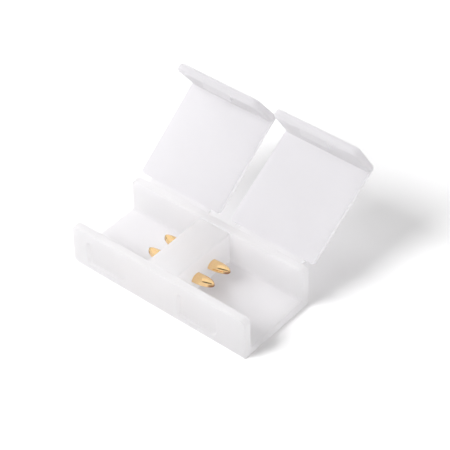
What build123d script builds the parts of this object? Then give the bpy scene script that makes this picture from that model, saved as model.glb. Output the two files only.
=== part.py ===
"""Snap connector for two LED strips, laid end to end.

A translucent tray, open at both ends, holds a block across its middle. Two spring contacts run through the block
and stand out into both bays. A strip slides under them from each end, and a lid then folds over from the back wall
and catches with its barb in a pocket of the front wall.

Frame: X along the strips, Y from the front wall to the back wall, Z up. The origin is at the centre of the underside.
Sizes are in millimetres. The lids are built in the open pose, as they stand on the table.
"""

from build123d import *
import os
from math import cos, radians, sin

# Tray
strip_width = 8.0
strip_side_clearance = 0.2
wall_thickness = 1.0
floor_thickness = 1.0
tray_length = 23.25
tray_height = 5.05
wall_end_radius = 0.65
rim_radius = 0.15
floor_corner_radius = 0.25
left_foot_radius = 0.45

# Block across the middle of the tray
block_width = 4.0
block_below_rim = 0.15
block_edge_radius = 0.2

# Contacts
contact_pitch = 2.54
contact_length = 8.9
contact_radius = 0.72
contact_end_radius = 0.52
contact_sheet = 0.2
contact_base_height = 2.54
contact_bar_overhang = 0.1
contact_shoulder = 0.03
contact_tip_rise_angle = 10.0
contact_slot_clearance = 0.02

# Lids
lid_gap = 1.55
lid_thickness = 0.72
lip_thickness = 0.95
lip_length = 4.6
lip_front_clearance = 0.1
lip_corner_radius = 0.8
lip_end_radius = 0.35
lid_outer_radius = 0.4
lid_hinge_corner_radius = 0.4
left_lid_opening_angle = 142.4
right_lid_opening_angle = 146.8

# Living hinges, measured from each lid's left edge
hinge_reach = 0.55
hinge_height_above_rim = 0.03
web_start = 1.55
web_end_inset = 1.05
web_thickness = 0.32
web_neck = 0.2
web_gap = 0.02

# Latches, measured from each lid's left edge
barb_start = 3.5
barb_length = 3.7
barb_crest_below_lid = 3.1
barb_height = 0.3
barb_catch_depth = 0.15
barb_lead_depth = 0.9
pocket_start = 2.0
pocket_length = 5.25
pocket_bottom = 0.7
pocket_top = 3.8
pocket_depth = 0.26
pocket_draft_angle = 45.0
pocket_corner_radius = 0.3
pocket_ramp_radius = 0.95

# Sizes that follow from those above
channel_width = strip_width + 2 * strip_side_clearance
tray_width = channel_width + 2 * wall_thickness
half_width = tray_width / 2
half_length = tray_length / 2
block_height = tray_height - block_below_rim
lid_width = (tray_length - lid_gap) / 2
lid_left_edges = {"left": -half_length, "right": lid_gap / 2}
lid_opening_angles = {"left": left_lid_opening_angle, "right": right_lid_opening_angle}
hinge_y = half_width + hinge_reach
hinge_z = tray_height + hinge_height_above_rim
lip_reach = hinge_y + half_width + lip_front_clearance
contact_rows = {"front": -contact_pitch / 2, "back": contact_pitch / 2}


def make_tray():
    """The channel, the block with its two contact slots, and a catch pocket in front of each lid."""
    contact_slots = [contact_leaf(row_y, contact_slot_clearance) for row_y in contact_rows.values()]
    with BuildPart() as tray:
        with BuildSketch(Plane.YZ.offset(-half_length)) as channel:
            Rectangle(tray_width, tray_height, align=(Align.CENTER, Align.MIN))
            with Locations((0, floor_thickness)):
                Rectangle(channel_width, tray_height, align=(Align.CENTER, Align.MIN), mode=Mode.SUBTRACT)
            fillet(channel.vertices().group_by(Axis.Y)[1], radius=floor_corner_radius)
        extrude(amount=tray_length)

        cross_edges = tray.edges().filter_by(Axis.Y)
        fillet(cross_edges.group_by(Axis.Z)[-1], radius=wall_end_radius)
        fillet(tray.edges().filter_by(Axis.Y).group_by(Axis.Z)[0].sort_by(Axis.X)[0], radius=left_foot_radius)

        long_edges = tray.edges().filter_by(Axis.X)
        fillet(long_edges.group_by(Axis.Z)[-1], radius=rim_radius)

        with BuildSketch(Plane.XY.offset(floor_thickness)):
            Rectangle(block_width, channel_width)
        extrude(amount=block_height - floor_thickness)
        block_top_edges = tray.edges().filter_by(Axis.Y).filter_by_position(
            Axis.Z, block_height - rim_radius, block_height + rim_radius
        )
        fillet(block_top_edges, radius=block_edge_radius)

        add(contact_slots, mode=Mode.SUBTRACT)

        for left_edge in lid_left_edges.values():
            start_x = left_edge + pocket_start
            end_x = start_x + pocket_length
            with BuildSketch(Plane.XZ.offset(half_width)):
                with BuildLine():
                    FilletPolyline(
                        (start_x, pocket_top),
                        (start_x, pocket_bottom),
                        (end_x, pocket_bottom),
                        (end_x, pocket_top),
                        radius=[pocket_corner_radius, pocket_corner_radius, pocket_ramp_radius, pocket_corner_radius],
                        close=True,
                    )
                make_face()
            extrude(amount=-pocket_depth, taper=pocket_draft_angle, mode=Mode.SUBTRACT)
    return tray.part


def contact_tip(growth):
    """Half of a rod on the XY plane, from the YZ plane along X, tapered a little to a blunt rounded end."""
    reach = contact_length / 2 - block_width / 2 - contact_bar_overhang + growth
    start_radius = contact_radius - contact_shoulder + growth
    end_radius = contact_end_radius + growth
    with BuildPart() as tip:
        with BuildSketch(Plane.XY):
            with BuildLine():
                Polyline((reach, 0), (0, 0), (0, start_radius), (reach - end_radius, end_radius))
                CenterArc((reach - end_radius, 0), end_radius, 0, 90)
            make_face()
        revolve(axis=Axis.X)
        split(bisect_by=Plane.XY, keep=Keep.TOP)
    return tip.part


def contact_body(row_y, growth):
    """A half-round bar through the block with two tips that turn up, grown by some thickness on its outside."""
    radius = contact_radius + growth
    straight_half = block_width / 2 + contact_bar_overhang
    tip = contact_tip(growth)
    with BuildPart() as body:
        with BuildSketch(Plane(origin=(0, row_y, contact_base_height), x_dir=(0, 1, 0), z_dir=(1, 0, 0))):
            Circle(radius)
            Rectangle(2 * radius, radius, align=(Align.CENTER, Align.MAX), mode=Mode.SUBTRACT)
        extrude(amount=straight_half, both=True)
        with Locations(
            Location((straight_half, row_y, contact_base_height), (0, -contact_tip_rise_angle, 0)),
            Location((-straight_half, row_y, contact_base_height), (0, contact_tip_rise_angle, 180)),
        ):
            add(tip)
    return body.part


def contact_leaf(row_y, clearance):
    """A sheet bent to a half-round hood with closed ends, grown on its inner and outer faces by a clearance."""
    outside = contact_body(row_y, clearance)
    hollow = contact_body(row_y, -contact_sheet - clearance)
    with BuildPart() as leaf:
        add(outside)
        add(hollow, mode=Mode.SUBTRACT)
    return leaf.part


def lid_plane(side, along=0.0):
    """The plane across a lid at its hinge: x runs up the lid, y down its lip and z along the row."""
    opening = radians(lid_opening_angles[side])
    return Plane(
        origin=(lid_left_edges[side] + along, hinge_y, hinge_z),
        x_dir=(0, -cos(opening), sin(opening)),
        z_dir=(1, 0, 0),
    )


def make_lid(side):
    """A plate with a thicker lip along its far edge and a latch barb on the inner face of the lip."""
    section = lid_plane(side)
    up_the_lid = Axis(section.origin, section.x_dir)
    down_the_lip = Axis(section.origin, section.y_dir)
    with BuildPart() as lid:
        with BuildSketch(section):
            with BuildLine():
                Polyline(
                    (0, 0),
                    (lip_reach, 0),
                    (lip_reach, lip_length),
                    (lip_reach + lip_thickness, lip_length),
                    (lip_reach + lip_thickness, -lid_thickness),
                    (0, -lid_thickness),
                    close=True,
                )
            make_face()
        extrude(amount=lid_width)

        lip_corners = lid.edges().filter_by(up_the_lid).group_by(down_the_lip)[-1]
        fillet(lip_corners, radius=lip_corner_radius)
        hinge_corners = lid.edges().filter_by(down_the_lip).group_by(up_the_lid)[0]
        fillet(hinge_corners, radius=lid_hinge_corner_radius)
        outer_edges = lid.edges().filter_by(Axis.X).group_by(up_the_lid)[-1]
        fillet(outer_edges.sort_by(down_the_lip)[0], radius=lid_outer_radius)
        lip_end_edges = lid.faces().sort_by(down_the_lip)[-1].edges().filter_by(Axis.X)
        fillet(lip_end_edges, radius=lip_end_radius)

        with BuildSketch(lid_plane(side, barb_start)):
            with BuildLine():
                Polyline(
                    (lip_reach, barb_crest_below_lid - barb_catch_depth),
                    (lip_reach - barb_height, barb_crest_below_lid),
                    (lip_reach, barb_crest_below_lid + barb_lead_depth),
                    close=True,
                )
            make_face()
        extrude(amount=barb_length)
    return lid.part


def make_hinge_web(side):
    """The thin web from the back wall to the lid, waisted on its underside so that it folds in the middle."""
    wall_y = half_width
    lid_y = hinge_y - web_gap
    middle_y = (wall_y + lid_y) / 2
    left_edge = lid_left_edges[side] + web_start
    web_length = lid_width - web_start - web_end_inset
    top = tray_height - rim_radius
    with BuildPart() as web:
        with BuildSketch(Plane.YZ.offset(left_edge)):
            with BuildLine():
                Polyline(
                    (wall_y, top - web_thickness),
                    (wall_y, top),
                    (lid_y, tray_height),
                    (lid_y, top - web_thickness),
                )
                ThreePointArc(
                    (lid_y, top - web_thickness),
                    (middle_y, (tray_height + top) / 2 - web_neck),
                    (wall_y, top - web_thickness),
                )
            make_face()
        extrude(amount=web_length)
    return web.part


def build_all():
    """Every piece of the connector, by its name."""
    pieces = {"tray": make_tray()}
    for side in ("left", "right"):
        pieces[f"{side}_lid"] = make_lid(side)
        pieces[f"{side}_hinge_web"] = make_hinge_web(side)
    for row, row_y in contact_rows.items():
        pieces[f"{row}_contact"] = contact_leaf(row_y, 0)
    return pieces


os.makedirs("parts", exist_ok=True)
for name, piece in build_all().items():
    piece.label = name
    export_step(piece, f"parts/{name}.step")
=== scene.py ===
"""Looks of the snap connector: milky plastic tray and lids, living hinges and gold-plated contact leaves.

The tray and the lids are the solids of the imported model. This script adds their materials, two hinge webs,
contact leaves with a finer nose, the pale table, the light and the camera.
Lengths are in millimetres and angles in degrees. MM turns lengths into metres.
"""

from math import cos, pi, radians, sin

import bmesh
import bpy
from mathutils import Matrix, Vector


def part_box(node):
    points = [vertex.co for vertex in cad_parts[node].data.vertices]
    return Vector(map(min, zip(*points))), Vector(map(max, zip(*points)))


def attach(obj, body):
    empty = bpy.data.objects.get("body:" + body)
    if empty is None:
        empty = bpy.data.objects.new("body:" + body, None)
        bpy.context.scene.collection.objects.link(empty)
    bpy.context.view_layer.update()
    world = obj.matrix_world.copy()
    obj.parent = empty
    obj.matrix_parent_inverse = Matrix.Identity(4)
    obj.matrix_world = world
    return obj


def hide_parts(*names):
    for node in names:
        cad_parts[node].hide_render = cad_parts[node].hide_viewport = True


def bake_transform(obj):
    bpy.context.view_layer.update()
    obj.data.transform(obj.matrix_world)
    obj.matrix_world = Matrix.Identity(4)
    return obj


MM = 0.001

# Camera, fitted to the photograph's edges. Its frame is 450 by 450 pixels.
FRAME_PIXELS = 450
CAMERA_AZIMUTH = 40.149
CAMERA_ELEVATION = 41.775
CAMERA_ROLL = -0.885
CAMERA_DISTANCE = 191.15
CAMERA_SIDE_STEP = 3.700
CAMERA_UP_STEP = 3.663
CAMERA_TARGET_HEIGHT = 3.0
FOCAL_PIXELS = 1846.24
SENSOR_WIDTH = 36.0
CLIP_START = 5.0
CLIP_END = 10000.0

# Lamps, which face the origin
LAMP_DISTANCE = 1000.0
LAMP_COLOUR = (0.985, 0.99, 1.0)
KEY_AZIMUTH = -117.0
KEY_ELEVATION = 46.5
KEY_SIZE = 470.0
KEY_POWER = 7.5
BACK_AZIMUTH = 172.0
BACK_ELEVATION = 36.0
BACK_SIZE = 300.0
BACK_POWER = 2.0

# Studio that gloss shows: white, with dark walls near the horizon and a dark slot between two directions.
# Pairs of angles are where the dark ends and where the white begins.
WORLD_STRENGTH = 0.43
WORLD_COLOUR = (1.0, 0.988, 0.985)
STUDIO_WHITE = (1.0, 1.0, 1.0)
STUDIO_DARK = 0.05
STUDIO_HORIZON = (8.0, 22.0)
STUDIO_SLOT_FROM = (-127.0, 40.0)
STUDIO_SLOT_TO = (-40.0, 30.0)
STUDIO_SLOT_HALF_WIDTH = (9.0, 12.0)

# Table. It fades to plain white between two distances from the connector.
FLOOR_PLAIN = (0.9, 0.9, 0.9)
FLOOR_SEEN = (1.07, 1.07, 1.07)
FLOOR_SIZE = 3000.0
FLOOR_GAP = 0.02
FLOOR_FADE = (150.0, 450.0)

# Hinge webs
WEB_STEPS = 16
WEB_INSET = 0.04
WEB_OVERLAP = 0.06
WEB_DROP = 0.15
WEB_NECK = 0.6

# Contact leaves
LEAF_WIDTH = 1.44
LEAF_CROWN = 0.62
LEAF_SHEET = 0.15
LEAF_BASE = 2.6
LEAF_RISE = 0.25
LEAF_NOSE_START = 2.4
LEAF_TIP = 4.41
LEAF_PLAN_POWER = 2.0
LEAF_CROWN_POWER = 4.0
LEAF_STATIONS = 24
LEAF_STEPS = 20
LEAF_SHARP_ANGLE = 50.0

# Plastic
TRAY_WHITE = (0.985, 0.98, 0.985)
TRAY_SHADE = (0.975, 0.97, 0.975)
# The lids' copy of the plastic is a little darker than the tray's. This is painted shade that tones down the
# lids, on which the key lamp falls squarely.
LID_WHITE_DIMMED = (0.965, 0.957, 0.97)
LID_SHADE_DIMMED = (0.95, 0.942, 0.955)
PLASTIC_THROUGH = 0.72
PLASTIC_ROUGHNESS = (0.36, 0.50)
PLASTIC_IOR = 2.2
PLASTIC_CLOUD_SIZE = 3.2
PLASTIC_PATCH_SIZE = 0.9
GRAIN_STRENGTH = 0.35
TRAY_GRAIN_SIZE = 0.12
TRAY_GRAIN_DEPTH = 0.006
LID_GRAIN_SIZE = 0.16
LID_GRAIN_DEPTH = 0.007

# Gold
GOLD_BRIGHT = (0.98, 0.70, 0.37)
GOLD_DEEP = (0.93, 0.65, 0.33)
GOLD_ROUGHNESS = (0.09, 0.15)
GOLD_TONE_SIZE = 0.7
GOLD_MARK_SIZE = 0.06
GOLD_MARK_STRETCH = (0.12, 1.0, 1.0)
GOLD_MARK_STRENGTH = 0.25
GOLD_MARK_DEPTH = 0.004
# Painted shade: the lower edge of each nose's tip turns dark brown. It fades in along the leaf and up its
# side between these distances and heights.
GOLD_PAINTED_SHADE = (0.40, 0.20, 0.10)
PAINTED_SHADE_FROM = (3.85, 4.10)
PAINTED_SHADE_BELOW = (3.00, 3.20)
BLOCK_HALF_WIDTH = 2.0

# The part of a noise's values that its features use, and the paths that light takes through the plastic
NOISE_RANGE = (0.3, 0.7)
MAX_BOUNCES = 16
DIFFUSE_BOUNCES = 12


def unit(azimuth, elevation):
    """The direction at an angle round Z from +X, and an angle above the table, both in degrees."""
    a, e = radians(azimuth), radians(elevation)
    return Vector((cos(a) * cos(e), sin(a) * cos(e), sin(e)))


class NodeTree:
    """A short way to add linked nodes to a material or a world."""

    def __init__(self, tree):
        self.tree = tree
        tree.nodes.clear()

    def add(self, kind, settings=None, **inputs):
        node = self.tree.nodes.new(kind)
        for name, value in (settings or {}).items():
            setattr(node, name, value)
        for name, value in inputs.items():
            self.put(node, name.replace("_", " "), value)
        return node

    def put(self, node, socket, value):
        target = node.inputs[socket]
        if isinstance(value, bpy.types.NodeSocket):
            self.tree.links.new(value, target)
        elif isinstance(value, tuple) and target.type == "RGBA":
            target.default_value = (*value, 1.0)
        else:
            target.default_value = value


def new_material(name):
    material = bpy.data.materials.new(name)
    material.use_nodes = True
    return material, NodeTree(material.node_tree)


def noise(nodes, place, size, detail=2.0, roughness=0.5):
    """Noise with features of about the given size in millimetres."""
    node = nodes.add(
        "ShaderNodeTexNoise",
        Vector=place,
        Scale=1 / (size * MM),
        Detail=detail,
        Roughness=roughness,
    )
    return node.outputs["Fac"]


def map_range(nodes, value, to_low, to_high, from_low=0.0, from_high=1.0):
    node = nodes.add("ShaderNodeMapRange")
    nodes.put(node, "Value", value)
    nodes.put(node, "From Min", from_low)
    nodes.put(node, "From Max", from_high)
    nodes.put(node, "To Min", to_low)
    nodes.put(node, "To Max", to_high)
    return node.outputs["Result"]


def mix_colour(nodes, factor, first, second):
    node = nodes.add("ShaderNodeMix", {"data_type": "RGBA"})
    colours = [socket for socket in node.inputs if socket.type == "RGBA"]
    nodes.put(node, "Factor", factor)
    for socket, value in zip(colours, (first, second)):
        if isinstance(value, tuple):
            socket.default_value = (*value, 1.0)
        else:
            nodes.tree.links.new(value, socket)
    return next(socket for socket in node.outputs if socket.type == "RGBA")


def mix_shader(nodes, factor, first, second):
    node = nodes.add("ShaderNodeMixShader")
    nodes.put(node, 0, factor)
    nodes.put(node, 1, first.outputs[0])
    nodes.put(node, 2, second.outputs[0])
    return node


def make_plastic(name, white, shade, grain_size, grain_depth):
    """Milky polypropylene: light wanders through it, with faint clouds and a fine moulded grain."""
    material, nodes = new_material(name)
    place = nodes.add("ShaderNodeTexCoord").outputs["Object"]
    clouds = noise(nodes, place, PLASTIC_CLOUD_SIZE, detail=3.0)
    colour = mix_colour(nodes, map_range(nodes, clouds, 0.0, 1.0, *NOISE_RANGE), shade, white)
    patches = noise(nodes, place, PLASTIC_PATCH_SIZE)
    grain = noise(nodes, place, grain_size, detail=3.0, roughness=0.6)
    bump = nodes.add("ShaderNodeBump", Strength=GRAIN_STRENGTH, Distance=grain_depth * MM, Height=grain)
    shader = nodes.add(
        "ShaderNodeBsdfPrincipled",
        Base_Color=colour,
        Roughness=map_range(nodes, patches, *PLASTIC_ROUGHNESS, *NOISE_RANGE),
        IOR=PLASTIC_IOR,
        Normal=bump.outputs["Normal"],
    )
    glow = nodes.add("ShaderNodeBsdfTranslucent", Color=colour)
    mixed = mix_shader(nodes, PLASTIC_THROUGH, shader, glow)
    nodes.add("ShaderNodeOutputMaterial", Surface=mixed.outputs["Shader"])
    return material


def make_gold(name):
    """Gold plating with faint rolling marks, and painted shade in dark brown on the lower edge of each
    nose's tip.
    Inside the block it is as white as the plastic, so that it doesn't tint the light that wanders through
    the block."""
    material, nodes = new_material(name)
    place = nodes.add("ShaderNodeTexCoord").outputs["Object"]
    stretched = nodes.add("ShaderNodeMapping", Vector=place, Scale=GOLD_MARK_STRETCH).outputs["Vector"]
    marks = noise(nodes, stretched, GOLD_MARK_SIZE, detail=3.0)
    tone = noise(nodes, place, GOLD_TONE_SIZE)
    plating = mix_colour(nodes, map_range(nodes, tone, 0.0, 1.0, *NOISE_RANGE), GOLD_DEEP, GOLD_BRIGHT)
    x, _, z = nodes.add("ShaderNodeSeparateXYZ", Vector=place).outputs
    # Painted shade: the plating turns dark brown towards each nose's tip and its lower edge.
    distance = calculate(nodes, "ABSOLUTE", x, 0.0)
    at_tip = map_range(nodes, distance, 0.0, 1.0, *(value * MM for value in PAINTED_SHADE_FROM))
    at_edge = map_range(nodes, z, 1.0, 0.0, *(value * MM for value in PAINTED_SHADE_BELOW))
    plating = mix_colour(nodes, calculate(nodes, "MULTIPLY", at_tip, at_edge), plating, GOLD_PAINTED_SHADE)
    plated = calculate(nodes, "GREATER_THAN", distance, BLOCK_HALF_WIDTH * MM)
    bump = nodes.add(
        "ShaderNodeBump",
        Strength=GOLD_MARK_STRENGTH,
        Distance=GOLD_MARK_DEPTH * MM,
        Height=marks,
    )
    shader = nodes.add(
        "ShaderNodeBsdfPrincipled",
        Base_Color=mix_colour(nodes, plated, TRAY_WHITE, plating),
        Metallic=plated,
        Roughness=map_range(nodes, marks, *GOLD_ROUGHNESS, *NOISE_RANGE),
        Normal=bump.outputs["Normal"],
    )
    nodes.add("ShaderNodeOutputMaterial", Surface=shader.outputs["BSDF"])
    return material


def dress(piece, material):
    piece.data.materials.clear()
    piece.data.materials.append(material)


def make_hinge_web(side):
    """The thin web between the back wall and a lid, as a strip with many cross lines."""
    node = f"{side}_hinge_web"
    low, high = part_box(node)
    wall_y, lid_y = low.y - WEB_INSET * MM, high.y + WEB_OVERLAP * MM
    outline_top, outline_bottom = [], []
    for i in range(WEB_STEPS + 1):
        t = i / WEB_STEPS
        y = wall_y + (lid_y - wall_y) * t
        top = high.z - WEB_DROP * MM * (1 - t)
        thickness = (high.z - low.z - WEB_DROP * MM) * (1 - (1 - WEB_NECK) * sin(pi * t))
        outline_top.append((y, top))
        outline_bottom.append((y, top - thickness))
    profile = outline_top + outline_bottom[::-1]
    count = len(profile)
    vertices = [(x, y, z) for x in (low.x, high.x) for y, z in profile]
    faces = [(i, (i + 1) % count, count + (i + 1) % count, count + i) for i in range(count)]
    for i in range(WEB_STEPS):
        j = count - 1 - i
        faces.append((i, j, j - 1, i + 1))
        faces.append((count + i, count + i + 1, count + j - 1, count + j))
    mesh = bpy.data.meshes.new(f"{node}_strip")
    mesh.from_pydata(vertices, [], faces)
    shape = bmesh.new()
    shape.from_mesh(mesh)
    bmesh.ops.recalc_face_normals(shape, faces=shape.faces)
    shape.to_mesh(mesh)
    shape.free()
    web = bpy.data.objects.new(f"{node}_strip", mesh)
    bpy.context.scene.collection.objects.link(web)
    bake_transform(web)
    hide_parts(node)
    return web


def smooth(mesh, sharp_angle):
    mesh.polygons.foreach_set("use_smooth", [True] * len(mesh.polygons))
    mesh.set_sharp_from_angle(angle=radians(sharp_angle))


def rounding(nose, power):
    """How wide a nose is from its start, at 0, to its tip, at 1. A higher power makes it blunter."""
    return max(0.0, 1 - nose**power) ** (1 / power)


def leaf_surface(row_y, inset):
    """Rows of points over one face of a leaf: a hood that narrows to a rounded nose at each end."""
    tip = LEAF_TIP - inset
    rows = []
    for i in range(-LEAF_STATIONS, LEAF_STATIONS + 1):
        along = tip * sin(pi / 2 * i / LEAF_STATIONS)
        nose = max(0.0, (abs(along) - LEAF_NOSE_START) / (tip - LEAF_NOSE_START))
        half_width = (LEAF_WIDTH / 2 - inset) * rounding(nose, LEAF_PLAN_POWER)
        crown = (LEAF_CROWN - inset) * rounding(nose, LEAF_CROWN_POWER)
        outside = max(0.0, (abs(along) - BLOCK_HALF_WIDTH) / (LEAF_TIP - BLOCK_HALF_WIDTH))
        base = LEAF_BASE + LEAF_RISE * outside
        angles = [pi * j / LEAF_STEPS for j in range(LEAF_STEPS + 1)]
        rows.append([(along, row_y + half_width * cos(a), base + crown * sin(a)) for a in angles])
    return rows


def make_leaf(row):
    """A contact leaf whose nose is blunt from the side and round from above."""
    node = f"{row}_contact"
    low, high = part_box(node)
    row_y = (low.y + high.y) / 2 / MM
    outer = leaf_surface(row_y, 0.0)
    inner = leaf_surface(row_y, LEAF_SHEET)
    wide = LEAF_STEPS + 1
    points = [point for rows in (outer, inner) for line in rows for point in line]
    start = len(outer) * wide
    faces = []
    for i in range(len(outer) - 1):
        for j in range(LEAF_STEPS):
            a, b = i * wide + j, (i + 1) * wide + j
            faces.append((a, a + 1, b + 1, b))
            faces.append((start + a, start + b, start + b + 1, start + a + 1))
        for a in (i * wide, i * wide + LEAF_STEPS):
            faces.append((a, a + wide, start + a + wide, start + a))
    mesh = bpy.data.meshes.new(f"{node}_leaf")
    mesh.from_pydata([tuple(value * MM for value in point) for point in points], [], faces)
    shape = bmesh.new()
    shape.from_mesh(mesh)
    bmesh.ops.remove_doubles(shape, verts=shape.verts, dist=1e-7)
    bmesh.ops.recalc_face_normals(shape, faces=shape.faces)
    shape.to_mesh(mesh)
    shape.free()
    smooth(mesh, LEAF_SHARP_ANGLE)
    leaf = bpy.data.objects.new(f"{node}_leaf", mesh)
    bpy.context.scene.collection.objects.link(leaf)
    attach(leaf, "base")
    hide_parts(node)
    return leaf


def make_camera():
    a, roll = radians(CAMERA_AZIMUTH), radians(CAMERA_ROLL)
    back = unit(CAMERA_AZIMUTH - 90, CAMERA_ELEVATION)
    level = Vector((cos(a), sin(a), 0))
    rise = back.cross(level)
    right = level * cos(roll) + rise * sin(roll)
    up = rise * cos(roll) - level * sin(roll)
    target = Vector((0, 0, CAMERA_TARGET_HEIGHT)) + right * CAMERA_SIDE_STEP + up * CAMERA_UP_STEP
    data = bpy.data.cameras.new("camera")
    data.sensor_width = SENSOR_WIDTH
    data.lens = FOCAL_PIXELS / FRAME_PIXELS * SENSOR_WIDTH
    data.clip_start = CLIP_START * MM
    data.clip_end = CLIP_END * MM
    camera = bpy.data.objects.new("camera", data)
    axes = Matrix((right, up, back)).transposed().to_4x4()
    camera.matrix_world = Matrix.Translation((target + back * CAMERA_DISTANCE) * MM) @ axes
    bpy.context.scene.collection.objects.link(camera)
    bpy.context.scene.camera = camera


def make_lamp(name, azimuth, elevation, size, power):
    """A round softbox that faces the origin. Gloss shows the world instead of it."""
    data = bpy.data.lights.new(name, "AREA")
    data.shape = "DISK"
    data.size = size * MM
    data.energy = power
    data.color = LAMP_COLOUR
    lamp = bpy.data.objects.new(name, data)
    direction = unit(azimuth, elevation)
    lamp.location = direction * LAMP_DISTANCE * MM
    lamp.rotation_mode = "QUATERNION"
    lamp.rotation_quaternion = direction.to_track_quat("Z", "Y")
    lamp.visible_glossy = False
    bpy.context.scene.collection.objects.link(lamp)


def calculate(nodes, operation, first, second):
    node = nodes.add("ShaderNodeMath", {"operation": operation, "use_clamp": True})
    nodes.put(node, 0, first)
    nodes.put(node, 1, second)
    return node.outputs[0]


def seen_directly(nodes):
    """One for camera rays and for those on from a mirror or clear glass, zero for light on dull surfaces."""
    path = nodes.add("ShaderNodeLightPath").outputs
    clear = calculate(nodes, "SUBTRACT", path["Is Transmission Ray"], path["Is Diffuse Ray"])
    seen = calculate(nodes, "MAXIMUM", path["Is Camera Ray"], path["Is Glossy Ray"])
    return calculate(nodes, "MAXIMUM", seen, clear)


def along(nodes, direction, axis):
    node = nodes.add("ShaderNodeVectorMath", {"operation": "DOT_PRODUCT"})
    nodes.put(node, 0, direction)
    nodes.put(node, 1, axis)
    return node.outputs["Value"]


def studio_slot(nodes, direction):
    """Dark in a long slot between two directions, and one elsewhere."""
    start, end = unit(*STUDIO_SLOT_FROM), unit(*STUDIO_SLOT_TO)
    narrow, wide = (radians(angle) for angle in STUDIO_SLOT_HALF_WIDTH)
    half_length = start.angle(end) / 2
    across = calculate(nodes, "ABSOLUTE", along(nodes, direction, start.cross(end).normalized()), 0.0)
    beside = map_range(nodes, across, STUDIO_DARK, 1.0, sin(narrow), sin(wide))
    middle = along(nodes, direction, (start + end).normalized())
    outside, inside = cos(half_length + wide - narrow), cos(half_length)
    beyond = map_range(nodes, middle, 1.0, STUDIO_DARK, outside, inside)
    return calculate(nodes, "MAXIMUM", beside, beyond)


def make_world():
    """Even light from all round. The camera sees plain white, and gloss also the dark walls and the slot."""
    world = bpy.data.worlds.new("studio")
    world.use_nodes = True
    bpy.context.scene.world = world
    nodes = NodeTree(world.node_tree)
    fill = nodes.add("ShaderNodeBackground", Color=WORLD_COLOUR, Strength=WORLD_STRENGTH)
    direction = nodes.add("ShaderNodeTexCoord").outputs["Generated"]
    height = nodes.add("ShaderNodeSeparateXYZ", Vector=direction).outputs["Z"]
    low, high = (sin(radians(angle)) for angle in STUDIO_HORIZON)
    walls = map_range(nodes, height, STUDIO_DARK, 1.0, low, high)
    slot = studio_slot(nodes, direction)
    mirrored = calculate(nodes, "MINIMUM", walls, slot)
    is_camera = nodes.add("ShaderNodeLightPath").outputs["Is Camera Ray"]
    shown = map_range(nodes, is_camera, mirrored, 1.0)
    white = nodes.add("ShaderNodeBackground", Color=STUDIO_WHITE, Strength=shown)
    mixed = mix_shader(nodes, seen_directly(nodes), fill, white)
    nodes.add("ShaderNodeOutputWorld", Surface=mixed.outputs[0])


def make_floor():
    """A pale table, which the camera sees white where nothing shades it."""
    half = FLOOR_SIZE / 2 * MM
    mesh = bpy.data.meshes.new("table_top")
    z = -FLOOR_GAP * MM
    square = [(-half, -half, z), (half, -half, z), (half, half, z), (-half, half, z)]
    mesh.from_pydata(square, [], [(0, 1, 2, 3)])
    floor = bpy.data.objects.new("table_top", mesh)
    bpy.context.scene.collection.objects.link(floor)
    material, nodes = new_material("table_white")
    plain = nodes.add("ShaderNodeBsdfDiffuse", Color=FLOOR_PLAIN)
    bright = nodes.add("ShaderNodeBsdfDiffuse", Color=FLOOR_SEEN)
    white = nodes.add("ShaderNodeEmission", Color=STUDIO_WHITE, Strength=1.0)
    away = nodes.add("ShaderNodeVectorMath", {"operation": "LENGTH"})
    nodes.put(away, 0, nodes.add("ShaderNodeTexCoord").outputs["Object"])
    far = map_range(nodes, away.outputs["Value"], 0.0, 1.0, *(distance * MM for distance in FLOOR_FADE))
    seen = mix_shader(nodes, far, bright, white)
    mixed = mix_shader(nodes, seen_directly(nodes), plain, seen)
    nodes.add("ShaderNodeOutputMaterial", Surface=mixed.outputs[0])
    dress(floor, material)


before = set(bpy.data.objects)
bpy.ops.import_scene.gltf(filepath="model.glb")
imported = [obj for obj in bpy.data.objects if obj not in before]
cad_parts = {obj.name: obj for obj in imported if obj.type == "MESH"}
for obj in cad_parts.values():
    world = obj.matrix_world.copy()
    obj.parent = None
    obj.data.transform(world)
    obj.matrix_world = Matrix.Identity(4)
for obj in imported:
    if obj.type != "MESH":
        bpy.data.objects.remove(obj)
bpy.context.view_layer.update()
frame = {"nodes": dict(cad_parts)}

make_camera()
make_world()
make_lamp("key_light", KEY_AZIMUTH, KEY_ELEVATION, KEY_SIZE, KEY_POWER)
make_lamp("back_light", BACK_AZIMUTH, BACK_ELEVATION, BACK_SIZE, BACK_POWER)
make_floor()

tray_plastic = make_plastic("tray_plastic", TRAY_WHITE, TRAY_SHADE, TRAY_GRAIN_SIZE, TRAY_GRAIN_DEPTH)
# The lids get the darker copy of the plastic, as painted shade.
lid_plastic_dimmed = make_plastic("lid_plastic_dimmed", LID_WHITE_DIMMED, LID_SHADE_DIMMED, LID_GRAIN_SIZE, LID_GRAIN_DEPTH)
gold = make_gold("contact_gold")

nodes = frame["nodes"]
dress(nodes["tray"], tray_plastic)
for side in ("left", "right"):
    dress(nodes[f"{side}_lid"], lid_plastic_dimmed)
    dress(nodes[f"{side}_hinge_web"], tray_plastic)
    dress(make_hinge_web(side), tray_plastic)
for row in ("front", "back"):
    dress(nodes[f"{row}_contact"], gold)
    dress(make_leaf(row), gold)

scene = bpy.context.scene
scene.view_settings.view_transform = "Standard"
scene.cycles.max_bounces = MAX_BOUNCES
scene.cycles.diffuse_bounces = DIFFUSE_BOUNCES
